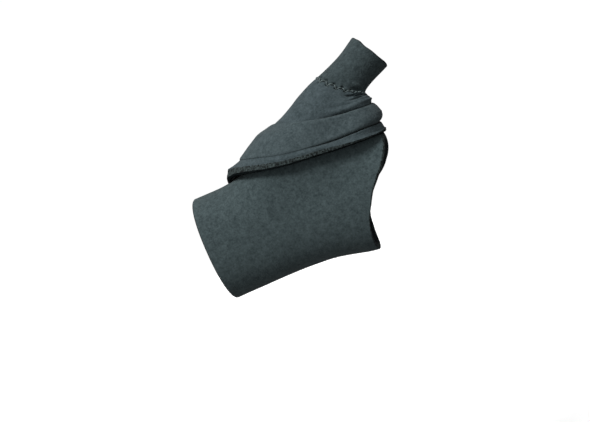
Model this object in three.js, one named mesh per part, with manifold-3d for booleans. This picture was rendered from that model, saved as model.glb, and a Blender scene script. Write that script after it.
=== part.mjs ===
// Thumb splint in padded elastic cloth, in the shape that it has when worn on a left hand.
// It has a wrist wrap, a thumb panel with a thick flared lip, a thumb sleeve and a strap.
// All lengths are millimetres. X runs along the forearm to the fingers and Z to the thumb's side.
// Y runs to the back of the hand. The origin is the middle of the wrist tunnel at the wrist crease.
import * as THREE from 'three';
import Module from 'manifold-3d';

// Sizes of the limb that the splint is shaped on
const HAND_REACH = 76;
const WRIST_HALF_BREADTH = 27.6;
const WRIST_HALF_DEPTH = 20;
const THUMB_RISE = 65.6;
const THUMB_RADIUS = 7.3;
const THENAR_RADIUS = 13.8;

// Sizes of the cloth
const CUFF_LENGTH = 41.5;
const BACK_SETBACK = 6;
const WALL = 2.5;
const GAP = 0.4;
const LIP_FLARE = 3;
const FOLD_RISE = 1.6;

// How squarely the tunnel's section turns its corners, as the power of a superellipse
const SECTION_POWER = 2.25;
// How softly the thumb runs into its web, and both into the palm
const WEB_BLEND = THUMB_RADIUS * 1.35;
const PALM_BLEND = THENAR_RADIUS;

// Inside of the wrist tunnel. Columns: x as a share of the hand's reach, then the middle's rise and the
// half breadth as shares of the wrist's half breadth, then the depths to the palm side and to the back
// as shares of the wrist's half depth.
const TUNNEL = [
  [-0.79, -0.011, 1.007, 1.025, 1.025],
  [-0.58, -0.011, 1.011, 1.0, 1.0],
  [-0.26, -0.015, 1.0, 0.975, 0.95],
  [0.0, -0.036, 0.986, 0.95, 0.875],
  [0.26, -0.109, 0.971, 0.9, 0.825],
  [0.53, -0.246, 1.0, 0.85, 0.8],
  [0.79, -0.341, 0.993, 0.8, 0.75],
  [1.18, -0.471, 1.025, 0.75, 0.7],
];

// Middle line of the thumb. Columns: x as a share of the hand's reach, y as a share of the wrist's half depth,
// z as a share of the thumb's rise, and the radius as a share of the thenar's, then of the thumb's.
const THUMB = [
  [-0.105, -0.1, 0.168, 0.797, 0],
  [0.164, -0.2, 0.405, 1.0, 0],
  [0.434, -0.15, 0.61, 0.623, 0],
  [0.618, 0.025, 0.744, 0, 0.986],
  [0.776, 0.2, 0.835, 0, 0.822],
  [0.947, 0.35, 0.915, 0, 0.863],
  [1.092, 0.49, 1.0, 0, 1.0],
  [1.211, 0.6, 1.067, 0, 1.041],
];

// Corners of the web between the thumb and the palm, a rounded sheet, with the same columns
const WEB = [
  [0.421, -0.2, 0.366, 0.978, 0],
  [0.743, -0.09, 0.427, 0.667, 0],
  [0.789, -0.05, 0.564, 0, 0.904],
  [0.632, -0.07, 0.671, 0, 1.014],
];

// Loops round the thumb, seen from the palm side. Columns: left x, left z, right x and right z as shares of the
// hand's reach and the thumb's rise, then the middle's y, the half depth and the front's sag as shares of the
// wrist's half depth. The whole-numbered places along the table have names below it.
const LOOPS = [
  [-0.224, 0.473, 0.993, 0.305, -0.1, 1.05, 0.09],
  [-0.086, 0.556, 0.974, 0.381, -0.125, 0.975, 0.12],
  [0.079, 0.655, 0.941, 0.495, -0.125, 0.875, 0.12],
  [0.237, 0.739, 0.92, 0.575, -0.075, 0.775, 0.09],
  [0.447, 0.861, 0.908, 0.655, 0.05, 0.675, 0.065],
  [0.658, 0.96, 0.914, 0.683, 0.15, 0.6, 0.03],
  [0.836, 1.044, 1.013, 0.77, 0.3, 0.575, -0.08],
  [1.013, 1.143, 1.151, 0.838, 0.45, 0.6, -0.2],
];
const LIP_EDGE = 0;
const LIP_ROLL = 0.45;
const STRAP_LOW = 1;
const STRAP_HIGH = 3;
const FOLD_MIDDLE = 3.7;
const FOLD_REACH = 0.55;
// The fold is highest at this angle round the thumb, and dies out away from it
const FOLD_ANGLE = 0.6;
const FOLD_MEAN = 0.5;
const FOLD_SWING = 0.7;
// The higher this power, the closer the flare keeps to the lip
const FLARE_POWER = 1.3;
const SEAM = 5;
const SLEEVE_END = 7;

// Loop of the thumb hole in the wrap, hidden under the panel, with the same columns
const HOLE = [0, 0.575, 0.942, 0.35, -0.125, 0.875, 0.05];
// The hole's cutter reaches this far inside the limb and this far outside the wrap
const CUTTER_INSIDE = -WALL * 1.2;
const CUTTER_OUTSIDE = WALL * 2.4;
const CUTTER_PEAK = THUMB_RISE * 2;
// The wrap's stuff above the hole is closed over this far above the loop before it is cut away
const LID_HEIGHT = WALL * 2;

// Edge of the wrap at the palm. Columns: height in the section from -1 to 1, x as a share of the hand's reach.
const PALM_EDGE = [
  [-1, 0.572],
  [-0.75, 0.598],
  [-0.3, 0.668],
  [0.15, 0.73],
  [0.5, 0.803],
  [0.8, 0.886],
  [1, 0.938],
];

// Numbers of points round and along each piece
const WRAP_ROUND = 56;
const WRAP_ALONG = 21;
const WRAP_CROWDING = 1.75;
const PANEL_ROUND = 54;
const ROWS_PER_LOOP = 3;
const SLEEVE_ROUND = 40;
const CUTTER_ROUND = 72;
const THUMB_STEPS = 30;

// How the form is felt for: the slope's probe, the steps of a point's flow to a level, and the ray's steps
const PROBE = 0.3;
const FLOW_STEPS = 20;
const FLOW_STRIDE = 2.5;
const LEAST_SLOPE = 0.2;
const MARCH_STEP = 2;
const HALVINGS = 18;
const TINY = 1e-6;
const CLOTH_ROUGHNESS = 0.92;

function between(low, high, share) {
  return low + (high - low) * share;
}

function clamp(value, low, high) {
  return Math.min(Math.max(value, low), high);
}

// Smooth curve through the rows of a table, read at a place counted in rows
function curve(table, place) {
  const last = table.length - 1;
  const spot = clamp(place, 0, last);
  const index = Math.min(Math.floor(spot), last - 1);
  const share = spot - index;
  const before = table[Math.max(index - 1, 0)];
  const start = table[index];
  const end = table[index + 1];
  const after = table[Math.min(index + 2, last)];
  return start.map((value, column) => {
    const slope = end[column] - before[column];
    const bend = 2 * before[column] - 5 * value + 4 * end[column] - after[column];
    const twist = 3 * value - before[column] - 3 * end[column] + after[column];
    return 0.5 * (2 * value + share * (slope + share * (bend + share * twist)));
  });
}

// The same curve, read where the table's first column has the given value
function curveAt(table, value) {
  const last = table.length - 1;
  const goal = clamp(value, table[0][0], table[last][0]);
  let index = 0;
  while (index < last - 1 && goal > table[index + 1][0]) {
    index += 1;
  }
  const share = (goal - table[index][0]) / (table[index + 1][0] - table[index][0]);
  return curve(table, index + share);
}

function limbRow(row) {
  const [x, y, z, thenar, thumb] = row;
  const radius = thenar * THENAR_RADIUS + thumb * THUMB_RADIUS;
  return [x * HAND_REACH, y * WRIST_HALF_DEPTH, z * THUMB_RISE, radius];
}

function middleLine(table, steps) {
  const rows = table.map(limbRow);
  const points = [];
  for (let step = 0; step < steps; step += 1) {
    points.push(curve(rows, ((rows.length - 1) * step) / (steps - 1)));
  }
  return points;
}

const thumbLine = middleLine(THUMB, THUMB_STEPS);
const webCorners = WEB.map(limbRow);
const tunnelRows = TUNNEL.map(([x, rise, half, palmar, dorsal]) => [
  x * HAND_REACH,
  rise * WRIST_HALF_BREADTH,
  half * WRIST_HALF_BREADTH,
  palmar * WRIST_HALF_DEPTH,
  dorsal * WRIST_HALF_DEPTH,
]);

function minus(one, other) {
  return [one[0] - other[0], one[1] - other[1], one[2] - other[2]];
}

function dot(one, other) {
  return one[0] * other[0] + one[1] * other[1] + one[2] * other[2];
}

function cross(one, other) {
  return [
    one[1] * other[2] - one[2] * other[1],
    one[2] * other[0] - one[0] * other[2],
    one[0] * other[1] - one[1] * other[0],
  ];
}

// Distance from a straight link between two rows, and the radius where it is nearest
function fromLink(point, start, end) {
  const link = minus(end, start);
  const toPoint = minus(point, start);
  const share = clamp(dot(toPoint, link) / dot(link, link), 0, 1);
  const apart = toPoint.map((value, axis) => value - share * link[axis]);
  return [Math.hypot(...apart), between(start[3], end[3], share)];
}

function thumbDistance(point) {
  let least = Infinity;
  for (let index = 0; index < thumbLine.length - 1; index += 1) {
    const [away, radius] = fromLink(point, thumbLine[index], thumbLine[index + 1]);
    least = Math.min(least, away - radius);
  }
  return least;
}

// Distance from a rounded sheet over a triangle that has a radius at each corner
function sheetDistance(point, a, b, c) {
  const ab = minus(b, a);
  const ac = minus(c, a);
  const ap = minus(point, a);
  const normal = cross(ab, ac);
  const area = dot(normal, normal);
  const shareB = dot(cross(ap, ac), normal) / area;
  const shareC = dot(cross(ab, ap), normal) / area;
  if (shareB >= 0 && shareC >= 0 && shareB + shareC <= 1) {
    const radius = a[3] + shareB * (b[3] - a[3]) + shareC * (c[3] - a[3]);
    return Math.abs(dot(ap, normal)) / Math.sqrt(area) - radius;
  }
  const links = [fromLink(point, a, b), fromLink(point, b, c), fromLink(point, c, a)];
  const [away, radius] = links.reduce((best, link) => (link[0] < best[0] ? link : best));
  return away - radius;
}

function webDistance(point) {
  const [a, b, c, d] = webCorners;
  return Math.min(sheetDistance(point, a, b, c), sheetDistance(point, a, c, d));
}

function tunnelDistance(point) {
  const [, rise, half, palmar, dorsal] = curveAt(tunnelRows, point[0]);
  const up = point[2] - rise;
  const depth = point[1] < 0 ? palmar : dorsal;
  const tall = Math.pow(Math.abs(up / half), SECTION_POWER);
  const deep = Math.pow(Math.abs(point[1] / depth), SECTION_POWER);
  const scale = Math.max(Math.pow(tall + deep, 1 / SECTION_POWER), TINY);
  return Math.hypot(up, point[1]) * (1 - 1 / scale);
}

function blend(one, other, reach) {
  const share = Math.max(reach - Math.abs(one - other), 0) / reach;
  return Math.min(one, other) - (share * share * reach) / 4;
}

// Distance from the limb's skin, below 0 inside it
function skinDistance(point) {
  const thumb = blend(thumbDistance(point), webDistance(point), WEB_BLEND);
  return blend(tunnelDistance(point), thumb, PALM_BLEND);
}

function slopeOf(point) {
  return [0, 1, 2].map((axis) => {
    const ahead = [...point];
    const behind = [...point];
    ahead[axis] += PROBE;
    behind[axis] -= PROBE;
    return (skinDistance(ahead) - skinDistance(behind)) / (2 * PROBE);
  });
}

// Moves a point straight off or to the skin until it lies at the given level above it
function flow(point, level) {
  let place = point;
  for (let step = 0; step < FLOW_STEPS; step += 1) {
    const slope = slopeOf(place);
    const stride = clamp(level - skinDistance(place), -FLOW_STRIDE, FLOW_STRIDE);
    const steepness = Math.max(slope[0] ** 2 + slope[1] ** 2 + slope[2] ** 2, LEAST_SLOPE);
    place = place.map((value, axis) => value + (slope[axis] * stride) / steepness);
  }
  return place;
}

// Point of a loop before it is laid on the limb, shifted across the loop by a length
function loopPoint(row, angle, shift) {
  const [leftX, leftZ, rightX, rightZ, middleY, depth, sag] = row;
  const halfX = ((rightX - leftX) / 2) * HAND_REACH;
  const halfZ = ((rightZ - leftZ) / 2) * THUMB_RISE;
  const halfLength = Math.hypot(halfX, halfZ);
  const front = depth * WRIST_HALF_DEPTH * Math.sin(angle);
  const drop = sag * WRIST_HALF_DEPTH * Math.sin(angle);
  const side = Math.cos(angle);
  const x = ((leftX + rightX) / 2) * HAND_REACH + side * halfX;
  const z = ((leftZ + rightZ) / 2) * THUMB_RISE + side * halfZ;
  return [
    x - (shift * halfZ) / halfLength,
    middleY * WRIST_HALF_DEPTH - front,
    z - drop + (shift * halfX) / halfLength,
  ];
}

function laidLoop(row, count, levelAt, shift) {
  const points = [];
  for (let index = 0; index < count; index += 1) {
    const angle = (index / count) * Math.PI * 2;
    points.push(flow(loopPoint(row, angle, shift), levelAt(angle)));
  }
  return points;
}

// Closed solid whose skin runs through closed loops one after another and back to the first
function solidFromLoops(loops) {
  const count = loops[0].length;
  const positions = loops.flat(2);
  const triangles = [];
  loops.forEach((loop, row) => {
    const next = (row + 1) % loops.length;
    for (let index = 0; index < count; index += 1) {
      const after = (index + 1) % count;
      const a = row * count + index;
      const b = row * count + after;
      const c = next * count + after;
      const d = next * count + index;
      triangles.push(a, b, c, a, c, d);
    }
  });
  return outward(positions, triangles);
}

function volumeOf(positions, triangles) {
  let sum = 0;
  for (let index = 0; index < triangles.length; index += 3) {
    const [a, b, c] = [0, 1, 2].map((corner) => {
      const start = triangles[index + corner] * 3;
      return new THREE.Vector3(positions[start], positions[start + 1], positions[start + 2]);
    });
    sum += a.dot(b.cross(c)) / 6;
  }
  return sum;
}

// Turns every face round if the faces point inwards
function outward(positions, triangles) {
  if (volumeOf(positions, triangles) > 0) {
    return { positions, triangles };
  }
  const turned = [];
  for (let index = 0; index < triangles.length; index += 3) {
    turned.push(triangles[index], triangles[index + 2], triangles[index + 1]);
  }
  return { positions, triangles: turned };
}

// Height of the lid that closes the wrap over the thumb hole before the hole is cut, along the hole's loop
function lidHeight(x, y) {
  const [leftX, leftZ, rightX, rightZ, middleY, depth, sag] = HOLE;
  const share = (x / HAND_REACH - leftX) / (rightX - leftX);
  const tilt = ((y - middleY * WRIST_HALF_DEPTH) * sag) / depth;
  return between(leftZ, rightZ, share) * THUMB_RISE + LID_HEIGHT + tilt;
}

// Point of the wrap, found along a ray from the tunnel's middle
function wrapPoint(x, angle, level, lidDrop) {
  const rise = curveAt(tunnelRows, x)[1];
  const across = Math.cos(angle);
  const up = Math.sin(angle);
  const place = (reach) => [x, reach * across, rise + reach * up];
  const isOutside = (reach) => {
    const point = place(reach);
    return skinDistance(point) > level || point[2] > lidHeight(x, point[1]) - lidDrop;
  };
  let high = MARCH_STEP;
  while (!isOutside(high)) {
    high += MARCH_STEP;
  }
  let low = high - MARCH_STEP;
  for (let step = 0; step < HALVINGS; step += 1) {
    const middle = (low + high) / 2;
    if (isOutside(middle)) {
      high = middle;
    } else {
      low = middle;
    }
  }
  return place((low + high) / 2);
}

// Where the wrap ends at the palm, which is earlier at the back of the hand
function palmEdge(angle) {
  const setback = BACK_SETBACK * Math.max(Math.cos(angle), 0) ** 2;
  return curveAt(PALM_EDGE, Math.sin(angle))[1] * HAND_REACH - setback;
}

function wrapLoops(level, lidDrop) {
  const loops = [];
  for (let row = 0; row <= WRAP_ALONG; row += 1) {
    const share = 1 - Math.pow(1 - row / WRAP_ALONG, WRAP_CROWDING);
    const loop = [];
    for (let index = 0; index < WRAP_ROUND; index += 1) {
      const angle = (index / WRAP_ROUND) * Math.PI * 2;
      const x = between(-CUFF_LENGTH, palmEdge(angle), share);
      loop.push(wrapPoint(x, angle, level, lidDrop));
    }
    loops.push(loop);
  }
  return loops;
}

// Closed cutter for the thumb hole: a band through the hole's loop, with a cone to a point on each side
function holeCutter() {
  const inside = laidLoop(HOLE, CUTTER_ROUND, () => CUTTER_INSIDE, 0);
  const middle = laidLoop(HOLE, CUTTER_ROUND, () => WALL / 2, 0);
  const outside = laidLoop(HOLE, CUTTER_ROUND, () => CUTTER_OUTSIDE, 0);
  const loops = [inside, middle, outside];
  const [leftX, leftZ, rightX, rightZ, middleY] = HOLE;
  const x = ((leftX + rightX) / 2) * HAND_REACH;
  const y = middleY * WRIST_HALF_DEPTH;
  const z = ((leftZ + rightZ) / 2) * THUMB_RISE;
  const positions = loops.flat(2);
  const triangles = [];
  const low = loops.length * CUTTER_ROUND;
  const high = low + 1;
  positions.push(x, y, z - WRIST_HALF_BREADTH);
  positions.push(x, y, z + CUTTER_PEAK);
  for (let index = 0; index < CUTTER_ROUND; index += 1) {
    const after = (index + 1) % CUTTER_ROUND;
    for (let row = 0; row < loops.length - 1; row += 1) {
      const start = row * CUTTER_ROUND;
      const end = start + CUTTER_ROUND;
      triangles.push(start + index, start + after, end + after);
      triangles.push(start + index, end + after, end + index);
    }
    const top = (loops.length - 1) * CUTTER_ROUND;
    triangles.push(index, low, after);
    triangles.push(top + index, top + after, high);
  }
  return outward(positions, triangles);
}

function cutFrom(wasm, solid, tool) {
  const [body, cutter] = [solid, tool].map(
    ({ positions, triangles }) =>
      new wasm.Manifold(
        new wasm.Mesh({
          numProp: 3,
          vertProperties: new Float32Array(positions),
          triVerts: new Uint32Array(triangles),
        }),
      ),
  );
  const mesh = body.subtract(cutter).getMesh();
  return { positions: Array.from(mesh.vertProperties), triangles: Array.from(mesh.triVerts) };
}

// How far the panel stands off near its lip
function flareAt(place) {
  return LIP_FLARE * Math.pow(clamp(1 - place / STRAP_LOW, 0, 1), FLARE_POWER);
}

// Fold in the panel above the strap, on the palm side, that grows towards the web
function foldAt(place, angle) {
  const off = clamp((place - FOLD_MIDDLE) / FOLD_REACH, -1, 1);
  const across = Math.cos((off * Math.PI) / 2) ** 2;
  const along = clamp(FOLD_MEAN + FOLD_SWING * Math.cos(angle - FOLD_ANGLE), 0, 1);
  return FOLD_RISE * across * along;
}

function panelLoops() {
  const inner = [];
  const outer = [];
  const rows = SEAM * ROWS_PER_LOOP;
  for (let row = 0; row <= rows; row += 1) {
    const shift = row === rows ? -GAP : 0;
    const innerPlace = row / ROWS_PER_LOOP;
    const outerPlace = innerPlace < STRAP_LOW ? between(LIP_ROLL, STRAP_LOW, innerPlace) : innerPlace;
    const under = (angle) => WALL + GAP + flareAt(innerPlace) + foldAt(innerPlace, angle);
    const over = (angle) => 2 * WALL + GAP + flareAt(outerPlace) + foldAt(outerPlace, angle);
    inner.push(laidLoop(curve(LOOPS, innerPlace), PANEL_ROUND, under, shift));
    outer.push(laidLoop(curve(LOOPS, outerPlace), PANEL_ROUND, over, shift));
  }
  return [...inner, ...outer.reverse()];
}

function bandLoops(start, end, round, level, firstShift) {
  const inner = [];
  const outer = [];
  for (let row = 0; row <= (end - start) * ROWS_PER_LOOP; row += 1) {
    const place = curve(LOOPS, start + row / ROWS_PER_LOOP);
    const shift = row === 0 ? firstShift : 0;
    inner.push(laidLoop(place, round, () => level, shift));
    outer.push(laidLoop(place, round, () => level + WALL, shift));
  }
  return [...inner, ...outer.reverse()];
}

function cloth(name, solid, colour) {
  const geometry = new THREE.BufferGeometry();
  geometry.setAttribute('position', new THREE.Float32BufferAttribute(solid.positions, 3));
  geometry.setIndex(solid.triangles);
  geometry.computeVertexNormals();
  const material = new THREE.MeshStandardMaterial({
    color: colour,
    roughness: CLOTH_ROUGHNESS,
    metalness: 0,
  });
  material.name = name;
  const mesh = new THREE.Mesh(geometry, material);
  mesh.name = name;
  return mesh;
}

const wasm = await Module();
wasm.setup();

const wrapTube = solidFromLoops([...wrapLoops(0, WALL), ...wrapLoops(WALL, 0).reverse()]);
const wrap = cutFrom(wasm, wrapTube, holeCutter());
const panel = solidFromLoops(panelLoops());
const sleeve = solidFromLoops(bandLoops(SEAM, SLEEVE_END, SLEEVE_ROUND, WALL + GAP, GAP));
const strapLevel = 2 * (WALL + GAP);
const strap = solidFromLoops(bandLoops(STRAP_LOW, STRAP_HIGH, PANEL_ROUND, strapLevel, 0));

const group = new THREE.Group();
group.name = 'thumb_splint';
group.add(cloth('wrist_wrap', wrap, '#3e4a4d'));
group.add(cloth('thumb_panel', panel, '#46545a'));
group.add(cloth('thumb_sleeve', sleeve, '#38454a'));
group.add(cloth('thumb_strap', strap, '#455254'));

export default group;
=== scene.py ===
"""Looks of the thumb splint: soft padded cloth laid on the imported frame, with seams, folds and a studio."""

import math

import bmesh
import bpy
import numpy as np
from mathutils import Matrix, Vector, noise


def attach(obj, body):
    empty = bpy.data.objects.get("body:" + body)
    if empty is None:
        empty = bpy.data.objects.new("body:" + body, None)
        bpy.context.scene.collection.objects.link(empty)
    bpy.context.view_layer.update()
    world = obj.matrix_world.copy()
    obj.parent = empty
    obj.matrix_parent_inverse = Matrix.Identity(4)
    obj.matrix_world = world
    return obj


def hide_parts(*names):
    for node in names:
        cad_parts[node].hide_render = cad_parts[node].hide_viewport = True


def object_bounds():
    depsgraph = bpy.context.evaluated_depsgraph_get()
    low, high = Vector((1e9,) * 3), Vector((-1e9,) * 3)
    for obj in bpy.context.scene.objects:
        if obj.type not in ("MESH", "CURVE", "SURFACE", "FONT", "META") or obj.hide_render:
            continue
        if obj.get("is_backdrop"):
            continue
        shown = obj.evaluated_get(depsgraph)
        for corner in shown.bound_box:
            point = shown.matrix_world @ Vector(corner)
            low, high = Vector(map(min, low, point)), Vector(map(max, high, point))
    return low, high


# The form's sizes are in millimetres, as in the part's source, and are scaled to metres as a mesh is made
MM = 0.001
HAND_REACH = 76
WRIST_HALF_BREADTH = 27.6
WRIST_HALF_DEPTH = 20
THUMB_RISE = 65.6
THUMB_RADIUS = 7.3
THENAR_RADIUS = 13.8
CUFF_LENGTH = 41.5
BACK_SETBACK = 6
WALL = 2.5
GAP = 0.4
LIP_FLARE = 3
FOLD_RISE = 1.6
SECTION_POWER = 2.25
WEB_BLEND = THUMB_RADIUS * 1.35
PALM_BLEND = THENAR_RADIUS

# Columns: x as a share of the hand's reach, the middle's rise and the half breadth as shares of the wrist's
# half breadth, then the depths to the palm side and to the back as shares of the wrist's half depth
TUNNEL = [
    [-0.79, -0.011, 1.007, 1.025, 1.025],
    [-0.58, -0.011, 1.011, 1.0, 1.0],
    [-0.26, -0.015, 1.0, 0.975, 0.95],
    [0.0, -0.036, 0.986, 0.95, 0.875],
    [0.26, -0.109, 0.971, 0.9, 0.825],
    [0.53, -0.246, 1.0, 0.85, 0.8],
    [0.79, -0.341, 0.993, 0.8, 0.75],
    [1.18, -0.471, 1.025, 0.75, 0.7],
]

# Columns: x, y and z as shares of the hand's reach, the wrist's half depth and the thumb's rise, then the
# radius as a share of the thenar's and as a share of the thumb's
THUMB = [
    [-0.105, -0.1, 0.168, 0.797, 0],
    [0.164, -0.2, 0.405, 1.0, 0],
    [0.434, -0.15, 0.61, 0.623, 0],
    [0.618, 0.025, 0.744, 0, 0.986],
    [0.776, 0.2, 0.835, 0, 0.822],
    [0.947, 0.35, 0.915, 0, 0.863],
    [1.092, 0.49, 1.0, 0, 1.0],
    [1.211, 0.6, 1.067, 0, 1.041],
]
WEB = [
    [0.421, -0.2, 0.366, 0.978, 0],
    [0.743, -0.09, 0.427, 0.667, 0],
    [0.789, -0.05, 0.564, 0, 0.904],
    [0.632, -0.07, 0.671, 0, 1.014],
]

# Loops round the thumb. Columns: left x, left z, right x, right z, middle y, half depth and the front's sag
LOOPS = [
    [-0.224, 0.473, 0.993, 0.305, -0.1, 1.05, 0.09],
    [-0.086, 0.556, 0.974, 0.381, -0.125, 0.975, 0.12],
    [0.079, 0.655, 0.941, 0.495, -0.125, 0.875, 0.12],
    [0.237, 0.739, 0.92, 0.575, -0.075, 0.775, 0.09],
    [0.447, 0.861, 0.908, 0.655, 0.05, 0.675, 0.065],
    [0.658, 0.96, 0.914, 0.683, 0.15, 0.6, 0.03],
    [0.836, 1.044, 1.013, 0.77, 0.3, 0.575, -0.08],
    [1.013, 1.143, 1.151, 0.838, 0.45, 0.6, -0.2],
]

# Places along the cloth, counted in loops, where each feature sits
LIP_EDGE = -0.07
LIP_ROLL = 0.64
LIP_ROLL_WEB = 0.25
LIP_CREST = 0.86
LIP_LIFT_END = 0.9
STRAP_LOW = 1
STRAP_HIGH = 3
STRAP_MIDDLE = 1.75
HEM_MIDDLE = 3.3
FOLD_MIDDLE = 3.7
SEAM = 5
SLEEVE_END = 7

# Lengths of features and gaps along the cloth, counted in loops
LIP_SHORTER = 0.4
LIP_UP = 0.14
GROOVE_UP = 0.28
LEAST_ROLL = 0.15
STRAP_GAP_LOW = 0.03
STRAP_GAP_HIGH = 0.02
STRAP_STEP = (0.02, 0.07)
STRAP_BULGE_REACH = 1.1
GROOVE_REACH = 0.09
HEM_REACH = 0.32
HEM_TILT = 0.05
FOLD_REACH = 0.55
SEAM_REACH = 0.07
SEAM_SPLIT = 0.012
STITCH_REACH = 0.1
PIT_REACH = 0.09
SLEEVE_SHORTER = 0.07

# Heights and depths of the cloth's relief
LIP_RISE = 2.4
LIP_LIFT = 1.3
CUT_SETBACK = 0.3
GROOVE_DEPTH = 0.6
HEM_RISE = 1.9
WEB_BULGE = 0.9
SEAM_DIP = 0.35
PIT_DEPTH = 1.7
STRAP_SINK = 0.3

# Shares of those sizes, and powers that shape their curves
LIP_TUCK = 0.5
LIP_CLOSE = 0.97
LIP_ROLL_END = 0.6
LIP_LIFT_OUTER = 0.6
LIP_LOWER_LEFT = 0.2
LIP_FALL = 0.3
LIP_ROUNDING = 2.4
CUT_POWER = 0.8
FLARE_POWER = 1.3
HEM_POWER = 0.7
FOLD_MEAN = 0.5
FOLD_SWING = 0.7
FOLD_SHARE = 0.5
FOLD_WEB_LOSS = 0.75
CUT_ROUNDING = 0.3
RIM_ROUNDING = 0.25

# On the left the lip's inner edge reaches this much further down the wrap, up to this place
LIP_CORNER = (-3.4, 0, -1.9)
LIP_CORNER_END = 0.9

# Angles round the thumb, and turns, which are how far an effect reaches on both sides of an angle
FOLD_ANGLE = 0.6
FOLD_WEB_TURN = 0.9
LIP_CLOSE_TURN = 1
LIP_END_TURN = 0.35
LIP_CORNER_ANGLE = math.pi + 0.12
LIP_CORNER_TURN = 0.5
PIT_TURN = 0.12
STRAP_SHOULDER = math.pi + 0.5
STRAP_SHOULDER_TURN = 1.1

# Spans of rightness, which is 1 at the web of the thumb and 0 opposite, over which an effect comes in
AT_WEB = (0.8, 1)
AT_LIP_END = (0.88, 1)
SQUEEZE_SPAN = (0.78, 1)
BULGE_SPAN = (0.75, 1)
UPWARD_SPAN = (0.45, 1)
HEM_SPAN = (0.3, 0.8)
GROOVE_FADE = (0.45, 0.8)
STRAP_FADE = (0.1, 0.5)
LIP_LEFT_SPAN = 0.3

# Other spans: of what rightness lacks to 1, of the sine of the angle, and of the strap's share of thickness
ROLL_SPAN = (0.05, 0.45)
FRONT_SPAN = (0.1, 0.6)
THICK_SPAN = (0.5, 1)

# How far the cloth is pressed to the wrap at the web. Columns: place, share of the height that goes
WEB_SQUEEZE = [[0.7, 0.6], [1, 0.35], [1.3, 0.16], [1.9, 0]]

# Outline above the strap at the web. Columns: place, reach, rise
WEB_RISES = [[3.2, 0.2, -0.7], [3.6, 0.4, 1], [4, 0.3, 0.5], [4.4, 0.5, 0.5]]

# Dents and folds by the web. Columns: place, angle, reach along the places, reach in angle, rise
PINCHES = [
    [3.82, 0.6, 0.2, 0.45, -1.3],
    [4.25, 0.5, 0.25, 0.3, -2.2],
    [4.5, 0.85, 0.22, 0.3, -1.7],
    [4.02, 0.2, 0.14, 0.3, -1],
    [4.72, 0.6, 0.16, 0.35, 0.8],
    [5.2, 0.75, 0.14, 0.5, -0.9],
    [5.42, 0.95, 0.16, 0.6, 0.6],
    [4.4, 3.3, 0.6, 0.9, -0.6],
]

# How the strap thins towards its edges: the rounding's reach in loops, then the wall's share at the edge
EDGE_FLUSH = (0.15, 0.8)
EDGE_CRISP = (0.25, 0.3)
EDGE_WEB = (0.7, 0.05)
EDGE_THIN = 0.06
EDGE_THIN_REACH = 0.9

# Gentle unevenness of the cloth. Columns: length of a wave, seed, height
WRAP_SWELLS = [[13, 1, 0.22], [31, 2, 0.3]]
PANEL_SWELLS = [[17, 6, 0.3], [6, 7, 0.1]]
STRAP_SWELLS = [[19, 8, 0.3]]
SLEEVE_SWELLS = [[11, 9, 0.25]]
CUT_SWELLS = [[1.0, 3, 0.5], [2.3, 4, 0.45]]

# How the lip's inner edge wanders along the cloth: a wave's length, the seed, and the reach in loops
FRAY_WAVE = 1.6
FRAY_SEED = 5
FRAY_REACH = 0.035

# Waves of the sleeve's rim, in loops. Columns: waves round the thumb, height, phase
RIM_WAVES = [[3, 0.02, 1], [7, 0.012, 0]]

# Zigzag thread over the seam
STITCHES = 32
THREAD_RADIUS = 0.28
THREAD_LIFT = 0.5
THREAD_DIP = 1.5
THREAD_STEPS = 12
THREAD_SIDES = 6

# The thumb's hole in the wrap, in the columns of the loops, and how far the form rises there
HOLE = [0, 0.575, 0.942, 0.35, -0.125, 0.875, 0.05]
LID_HEIGHT = WALL * 2

# Edge of the wrap at the palm. Columns: height in the section from -1 to 1, x as a share of the hand's reach
PALM_EDGE = [
    [-1, 0.572],
    [-0.75, 0.598],
    [-0.3, 0.668],
    [0.15, 0.73],
    [0.5, 0.803],
    [0.8, 0.886],
    [1, 0.938],
]

# The photograph's view
VIEW_TURN = math.radians(12)
VIEW_ROLL = math.radians(24)
VIEW_DISTANCE = 0.8
VIEW_AIM = Vector((0.0083, 0, 0.001))
PIXELS_ACROSS = 590
MILLIMETRES_PER_PIXEL = 0.56
SENSOR = 36
CLIP_START = 0.01
CLIP_END = 50

# The studio, in metres
FLOOR_HALF = 12
FLOOR_HEIGHT = -0.2
FLOOR_GLOW = 0.4
FLOOR_COLOUR = (245, 245, 245)
FLOOR_ROUGHNESS = 0.95
DOME_RADIUS = 10
DOME_SEGMENTS = 48
DOME_RINGS = 24
SURROUND_FROM = (-0.3, -0.5, 0.8)
SURROUND_START = -0.6
SURROUND_LOW = 0.17
SURROUND_HIGH = 0.56
KEY_FROM = (-0.24, -0.62, 0.75)
KEY_POWER = 2.55
KEY_SPREAD = math.radians(22)

# Cloths. Columns: name, dark and light colour, sheen, gloss, scale of the mottling, depth of the relief
CLOTHS = [
    ["wrap_cloth", (47, 59, 61), (72, 85, 87), 0.05, 0.25, 380, 0.0003],
    ["panel_cloth", (48, 60, 63), (72, 84, 88), 0.05, 0.25, 380, 0.0003],
    ["sleeve_cloth", (40, 51, 53), (65, 77, 79), 0.05, 0.25, 380, 0.0003],
    ["strap_cloth", (50, 62, 65), (74, 86, 89), 0.05, 0.25, 380, 0.0003],
    ["lining_cloth", (22, 27, 29), (35, 42, 44), 0.05, 0.25, 380, 0.0003],
    # Near-black painted shade, standing in for the shadow under the lip on its cut face and the lining's edge
    ["lip_shade", (8, 11, 12), (17, 21, 22), 0, 0, 380, 0.0003],
    ["cut_foam", (3, 5, 6), (66, 77, 77), 0, 0.25, 900, 0.001],
]
CLOTH_ROUGHNESS = 0.92
SHEEN_ROUGHNESS = 0.5
MOTTLE_FINE = 900
MOTTLE_DETAIL = 3
MOTTLE_DARK = 0.36
MOTTLE_LIGHT = 0.64
PEBBLES = 1100
PEBBLE_DETAIL = 2
NOISE_ROUGHNESS = 0.6
THREAD_COLOUR = (98, 110, 110)
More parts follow.
